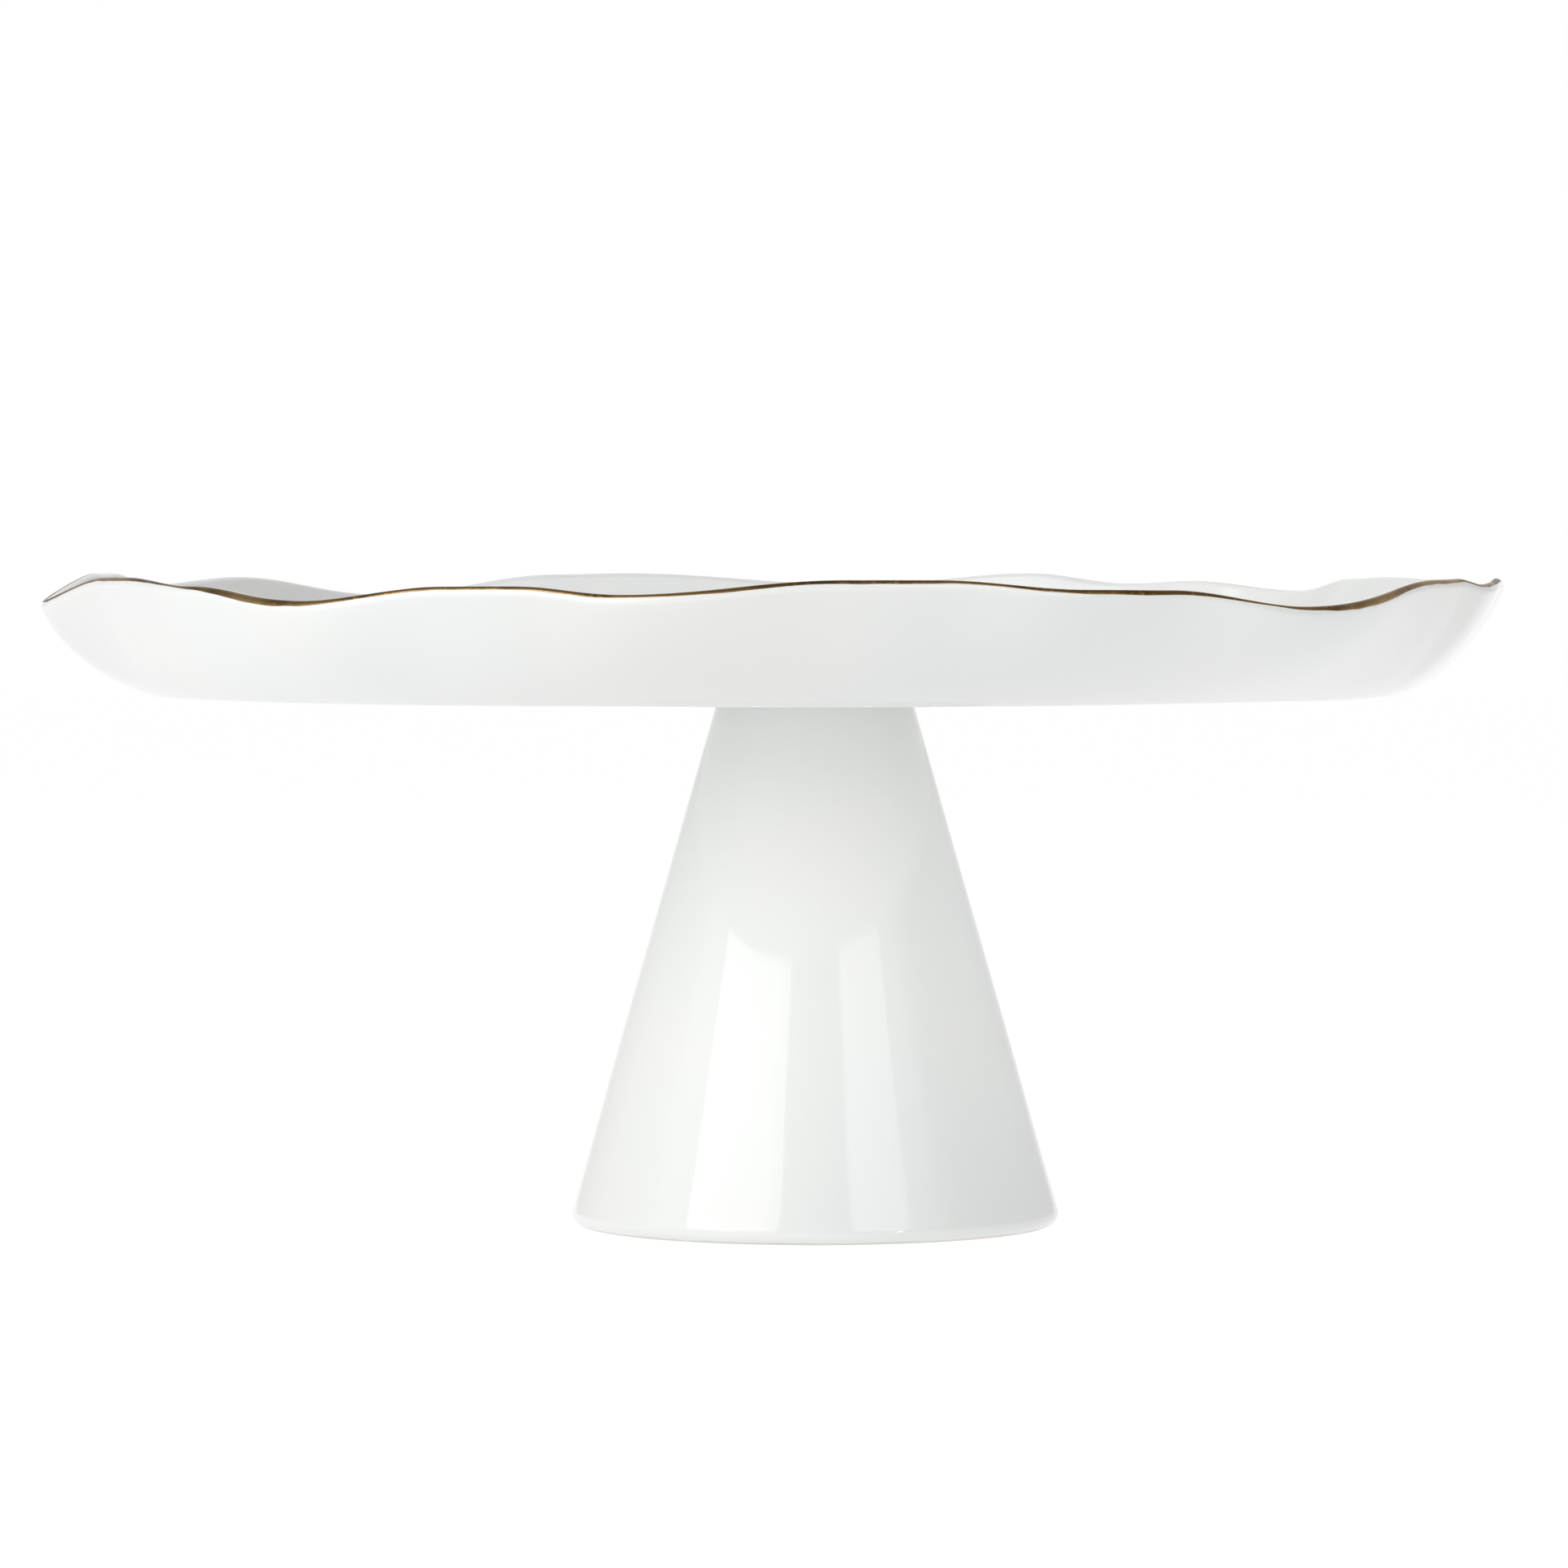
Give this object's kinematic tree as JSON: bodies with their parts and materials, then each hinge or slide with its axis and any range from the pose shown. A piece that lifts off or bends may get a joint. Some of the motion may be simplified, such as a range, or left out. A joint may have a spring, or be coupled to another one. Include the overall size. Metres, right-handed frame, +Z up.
{
  "type": "cake stand",
  "caption": "Footed porcelain cake stand: shallow plate with a wavy gold-banded rim, bolted to a hollow conical pedestal by a wing nut inside the foot.",
  "frame": {"origin": "on the table, at the centre of the pedestal's foot ring", "axes": "+Z up along the pedestal's axis; -X towards the plate's drawn-out spout-like dip; -Y towards the front"},
  "size_m": [0.3049, 0.303, 0.1366],
  "materials": {
    "glazed_porcelain": "clear gloss glaze over white body",
    "fired_gold": "brushed-on gold, fired, burnished",
    "gasket_rubber": "translucent silicone, matt",
    "washer_rubber": "black nitrile, matt",
    "zinc_plated_steel": "bright zinc plate",
    "cast_zinc": "die cast, plated, satin",
    "cement": "set plaster cement, matt"
  },
  "bodies": {
    "pedestal": {"pedestal": "glazed_porcelain", "seat_gasket": "gasket_rubber"},
    "plate": {"plate": "glazed_porcelain", "rim_gilding": "fired_gold", "potting_cement": "cement", "mounting_bolt": "zinc_plated_steel"},
    "washers": {"rubber_washer": "washer_rubber", "steel_washer": "zinc_plated_steel"},
    "wing_nut": {"wing_nut": "cast_zinc"}
  },
  "joints": [
    {"name": "plate_lift", "type": "slide", "parent": "pedestal", "child": "plate", "axis": [0, 0, 1], "range_m": [0, 0.03]},
    {"name": "nut_travel", "type": "slide", "parent": "pedestal", "child": "washers", "axis": [0, 0, -1], "range_m": [0, 0.01405]},
    {"name": "nut_turn", "type": "hinge", "parent": "washers", "child": "wing_nut", "pos_m": [0, 0, 0.0974], "axis": [0, 0, -1], "range_deg": [0, 5040]}
  ],
  "couplings": [
    {"joint": "nut_travel", "follows": "nut_turn", "m_per_rad": 0.00015915}
  ]
}
